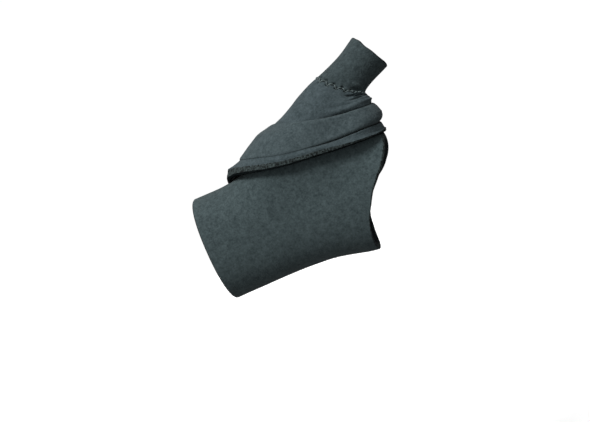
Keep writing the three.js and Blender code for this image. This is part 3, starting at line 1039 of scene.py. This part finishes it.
def make_floor():
    """Pale floor that shows but throws no light on the cloth."""
    material, _, shader = principled("studio_white", FLOOR_COLOUR, FLOOR_ROUGHNESS, PLAIN_GLOSS)
    shader.inputs["Emission Color"].default_value = (1, 1, 1, 1)
    shader.inputs["Emission Strength"].default_value = FLOOR_GLOW
    floor = bpy.data.meshes.new("studio_floor")
    edge = FLOOR_HALF
    sides = [(-edge, -edge), (edge, -edge), (edge, edge), (-edge, edge)]
    floor.from_pydata([(x, y, FLOOR_HEIGHT) for x, y in sides], [], [(0, 1, 2, 3)])
    floor.materials.append(material)
    obj = bpy.data.objects.new("studio_floor", floor)
    obj.visible_diffuse = False
    obj.visible_glossy = False
    bpy.context.scene.collection.objects.link(obj)
    obj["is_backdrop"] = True


def make_surroundings():
    """White light from all round, which is strongest from above, the left and the front."""
    world = bpy.data.worlds.new("studio_world")
    world.use_nodes = True
    tree = world.node_tree
    background = tree.nodes["Background"]
    background.inputs["Color"].default_value = (1, 1, 1, 1)
    direction = tree.nodes.new("ShaderNodeTexCoord")
    height = tree.nodes.new("ShaderNodeVectorMath")
    height.operation = "DOT_PRODUCT"
    height.inputs[1].default_value = Vector(SURROUND_FROM).normalized()
    spread = tree.nodes.new("ShaderNodeMapRange")
    spread.interpolation_type = "SMOOTHSTEP"
    spread.inputs["From Min"].default_value = SURROUND_START
    spread.inputs["From Max"].default_value = 1
    spread.inputs["To Min"].default_value = SURROUND_LOW
    spread.inputs["To Max"].default_value = SURROUND_HIGH
    tree.links.new(direction.outputs["Generated"], height.inputs[0])
    tree.links.new(height.outputs["Value"], spread.inputs["Value"])
    tree.links.new(spread.outputs["Result"], background.inputs["Strength"])
    bpy.context.scene.world = world


def make_key_light():
    light = bpy.data.lights.new("key_light", "SUN")
    light.energy = KEY_POWER
    light.angle = KEY_SPREAD
    obj = bpy.data.objects.new("key_light", light)
    obj.location = KEY_FROM
    obj.rotation_euler = (-Vector(KEY_FROM)).to_track_quat("-Z", "Y").to_euler()
    bpy.context.scene.collection.objects.link(obj)


def make_backdrop():
    """White dome round the scene, which shows but doesn't light the cloth."""
    bpy.ops.mesh.primitive_uv_sphere_add(segments=DOME_SEGMENTS, ring_count=DOME_RINGS, radius=DOME_RADIUS)
    dome = bpy.context.object
    dome.name = "studio_backdrop"
    material = bpy.data.materials.new("studio_glow")
    material.use_nodes = True
    shader = material.node_tree.nodes["Principled BSDF"]
    shader.inputs["Base Color"].default_value = (0, 0, 0, 1)
    shader.inputs["Emission Color"].default_value = (1, 1, 1, 1)
    shader.inputs["Emission Strength"].default_value = 1
    dome.data.materials.append(material)
    dome.visible_diffuse = False
    dome.visible_glossy = False
    dome.visible_shadow = False
    dome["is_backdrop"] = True


def make_camera():
    """The photograph's view: turned towards the fingers' side, level, and rolled as the arm is held."""
    data = bpy.data.cameras.new("photo_camera")
    data.sensor_width = SENSOR
    data.lens = SENSOR * VIEW_DISTANCE / (PIXELS_ACROSS * MILLIMETRES_PER_PIXEL * MM)
    data.clip_start = CLIP_START
    data.clip_end = CLIP_END
    level = Vector((math.cos(VIEW_TURN), math.sin(VIEW_TURN), 0))
    upright = Vector((0, 0, 1))
    right = math.cos(VIEW_ROLL) * level - math.sin(VIEW_ROLL) * upright
    up = math.sin(VIEW_ROLL) * level + math.cos(VIEW_ROLL) * upright
    back = right.cross(up)
    obj = bpy.data.objects.new("photo_camera", data)
    turn = Matrix((right, up, back)).transposed()
    obj.matrix_world = Matrix.Translation(VIEW_AIM + back * VIEW_DISTANCE) @ turn.to_4x4()
    bpy.context.scene.collection.objects.link(obj)
    bpy.context.scene.camera = obj


def corners():
    """The two corners of the box round everything so far."""
    return [list(corner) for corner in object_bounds()]


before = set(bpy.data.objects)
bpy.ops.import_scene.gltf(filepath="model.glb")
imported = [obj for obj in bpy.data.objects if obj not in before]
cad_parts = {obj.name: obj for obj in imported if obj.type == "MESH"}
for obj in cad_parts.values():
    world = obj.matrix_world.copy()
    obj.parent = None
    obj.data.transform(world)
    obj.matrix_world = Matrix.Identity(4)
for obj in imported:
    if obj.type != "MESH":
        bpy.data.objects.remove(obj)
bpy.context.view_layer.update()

cloths = [cloth_material(*row) for row in CLOTHS]
wrap_cloth, panel_cloth, sleeve_cloth, strap_cloth, lining_cloth, lip_shade, cut_foam = cloths
thread = principled("seam_thread", THREAD_COLOUR, THREAD_ROUGHNESS, PLAIN_GLOSS)[0]

laid = Chart()
make_wrap(wrap_cloth, cut_foam, lining_cloth)
make_panel(laid, panel_cloth, cut_foam, lining_cloth, lip_shade)
make_sleeve(laid, sleeve_cloth, cut_foam, lining_cloth)
make_strap(laid, strap_cloth)
make_thread(laid, thread)
make_floor()
make_surroundings()
make_key_light()
bpy.context.scene.view_settings.view_transform = "Standard"
make_backdrop()
make_camera()
